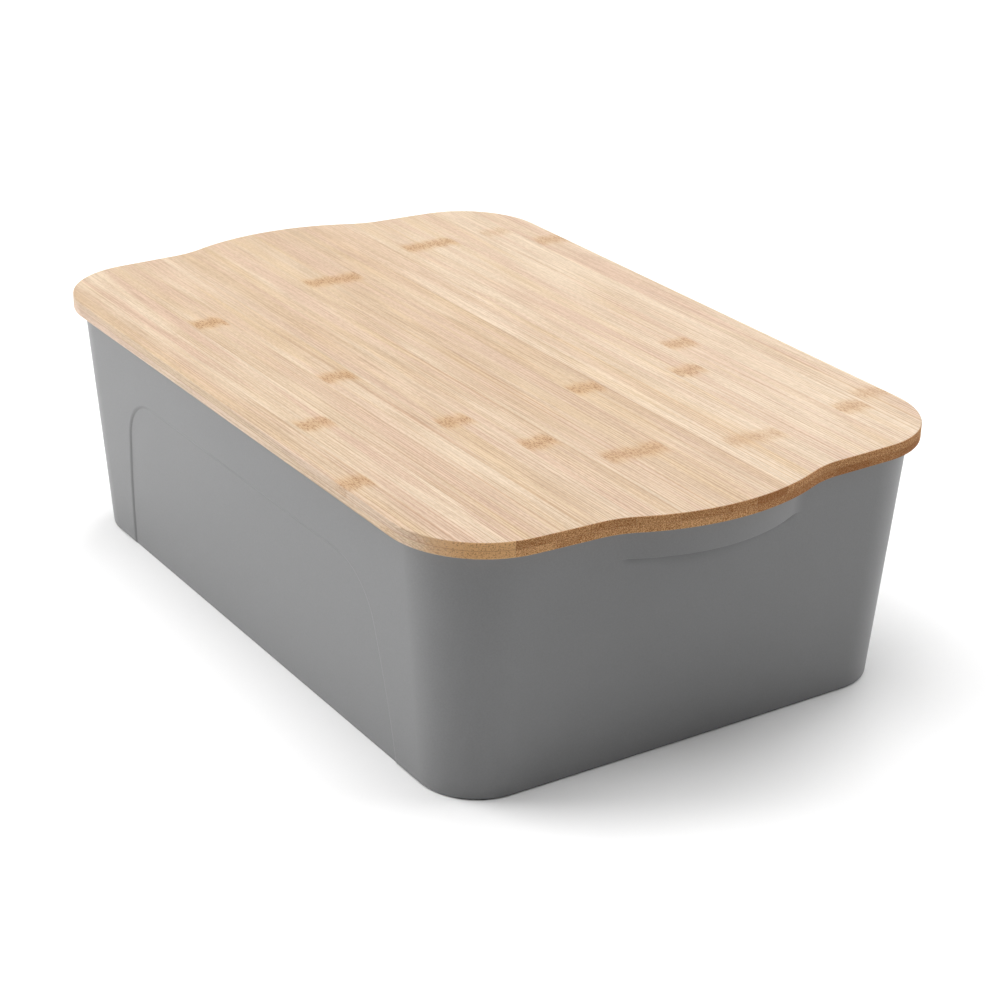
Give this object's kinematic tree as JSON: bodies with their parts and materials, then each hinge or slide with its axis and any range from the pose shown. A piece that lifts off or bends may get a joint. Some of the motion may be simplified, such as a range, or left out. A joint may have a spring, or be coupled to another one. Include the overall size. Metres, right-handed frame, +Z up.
{
  "type": "bread bin",
  "caption": "Low tapered box with rounded corners, hand grips under the rim at both ends, arched side recesses and a loose laminated bamboo lid.",
  "frame": {"origin": "middle of the tub's footprint, on the surface it stands on", "axes": "+X along the length, towards one hand grip; +Y across the width; +Z up, the way the lid lifts"},
  "size_m": [0.4, 0.26, 0.1222],
  "materials": {
    "grey_plastic": "fine satin moulded polypropylene",
    "bamboo_top": "sanded bamboo strips, thin clear oil",
    "bamboo_under": "sanded bamboo strips, thin clear oil"
  },
  "bodies": {
    "tub": {"tub": "grey_plastic"},
    "lid": {"lid_top_strip_01": "bamboo_top", "lid_top_strip_02": "bamboo_top", "lid_top_strip_03": "bamboo_top", "lid_top_strip_04": "bamboo_top", "lid_top_strip_05": "bamboo_top", "lid_top_strip_06": "bamboo_top", "lid_top_strip_07": "bamboo_top", "lid_top_strip_08": "bamboo_top", "lid_top_strip_09": "bamboo_top", "lid_top_strip_10": "bamboo_top", "lid_top_strip_11": "bamboo_top", "lid_top_strip_12": "bamboo_top", "lid_top_strip_13": "bamboo_top", "lid_top_strip_14": "bamboo_top", "lid_top_strip_15": "bamboo_top", "lid_under_strip_01": "bamboo_under", "lid_under_strip_02": "bamboo_under", "lid_under_strip_03": "bamboo_under", "lid_under_strip_04": "bamboo_under", "lid_under_strip_05": "bamboo_under", "lid_under_strip_06": "bamboo_under", "lid_under_strip_07": "bamboo_under", "lid_under_strip_08": "bamboo_under", "lid_under_strip_09": "bamboo_under", "lid_under_strip_10": "bamboo_under", "lid_under_strip_11": "bamboo_under", "lid_under_strip_12": "bamboo_under", "lid_under_strip_13": "bamboo_under", "lid_under_strip_14": "bamboo_under", "lid_under_strip_15": "bamboo_under"}
  },
  "joints": [
    {"name": "lid_lift", "type": "slide", "parent": "tub", "child": "lid", "axis": [0, 0, 1], "range_m": [0, 0.15]}
  ]
}
